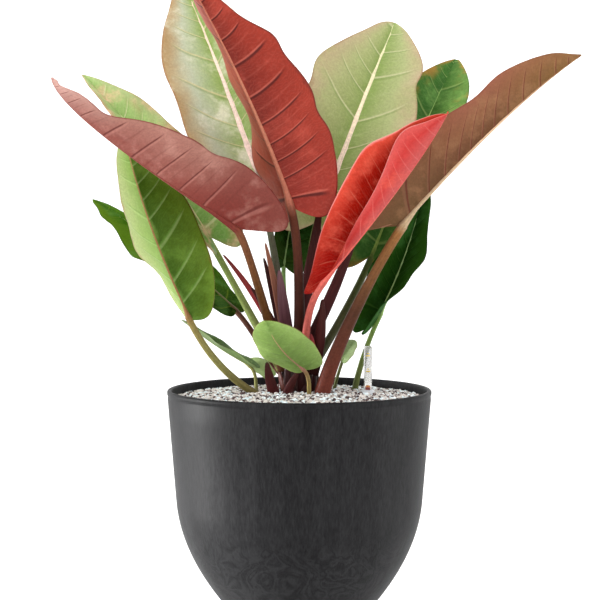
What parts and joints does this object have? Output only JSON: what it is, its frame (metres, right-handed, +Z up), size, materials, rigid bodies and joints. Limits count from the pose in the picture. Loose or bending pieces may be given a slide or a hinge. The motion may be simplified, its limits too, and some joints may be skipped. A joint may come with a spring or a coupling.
{
  "type": "potted plant",
  "caption": "Leafy foliage plant with long waved leaves on upright stalks, in a round bowl-footed planter filled with granules, with a water gauge.",
  "frame": {"origin": "middle of the planter's flat underside", "axes": "+Z up along the planter's axis; +X to the right and +Y away as the plant is looked at from its front"},
  "size_m": [0.5249, 0.3256, 0.7074],
  "materials": {
    "planter": "matt charcoal with faint paler upright streaks and swirls",
    "granules": "loose cream, white and maroon granules",
    "gauge_clear": "clear with yellow tick marks",
    "gauge_float": "red needle on a white float",
    "crown": "brown fibrous stem",
    "sheath": "maroon, slightly glossy",
    "stalk_brown": "red-brown, satin",
    "stalk_olive": "olive, satin",
    "stalk_pink": "pink, satin",
    "leaf_red": "brick red underside with pink veins, satin",
    "leaf_cream": "pale cream-green with tan patches and a pale midrib",
    "leaf_dusty": "dusty pink-red underside, satin",
    "leaf_lime": "light green with pale veins",
    "leaf_green": "mid green, satin",
    "leaf_dark": "dark green, glossy",
    "leaf_bronze": "bronze-brown underside with a pink midrib",
    "leaf_scarlet": "scarlet new leaf with a pink roll"
  },
  "bodies": {
    "plant": {"pot": "planter", "gauge_tube": "gauge_clear", "gauge_flange": "gauge_clear", "crown": "crown", "granules": "granules", "stalk_red_upright": "stalk_brown", "blade_red_upright": "leaf_red", "stalk_cream_upright": "stalk_olive", "blade_cream_upright": "leaf_cream", "stalk_dusty_left": "stalk_brown", "blade_dusty_left": "leaf_dusty", "stalk_lime_left": "stalk_olive", "blade_lime_left": "leaf_lime", "stalk_green_hanging": "stalk_olive", "blade_green_hanging": "leaf_green", "stalk_dark_left": "stalk_brown", "blade_dark_left": "leaf_dark", "stalk_small_front": "stalk_olive", "blade_small_front": "leaf_green", "stalk_thin_low_left": "stalk_olive", "blade_thin_low_left": "leaf_dark", "stalk_tiny_back_left": "stalk_olive", "blade_tiny_back_left": "leaf_lime", "stalk_cream_right": "stalk_olive", "blade_cream_right": "leaf_cream", "stalk_green_right": "stalk_olive", "blade_green_right": "leaf_dark", "stalk_bronze_right": "stalk_brown", "blade_bronze_right": "leaf_bronze", "stalk_scarlet_new": "stalk_pink", "blade_scarlet_new": "leaf_scarlet", "stalk_dark_low_right": "stalk_olive", "blade_dark_low_right": "leaf_dark", "stalk_tiny_right": "stalk_olive", "blade_tiny_right": "leaf_lime", "stalk_dark_centre": "stalk_olive", "blade_dark_centre": "leaf_dark", "sheath_left_outer": "sheath", "sheath_left_inner": "sheath", "sheath_mid_left": "sheath", "sheath_mid_left_back": "sheath", "sheath_purple": "sheath", "sheath_tall": "sheath", "sheath_right": "sheath", "sheath_spindle": "sheath", "sheath_stub": "sheath", "sheath_basal": "sheath", "sheath_basal_split": "sheath"},
    "float": {"gauge_float": "gauge_float"}
  },
  "joints": [
    {"name": "float_slide", "type": "slide", "parent": "plant", "child": "float", "axis": [0, 0, 1], "range_m": [0, 0.03]}
  ]
}
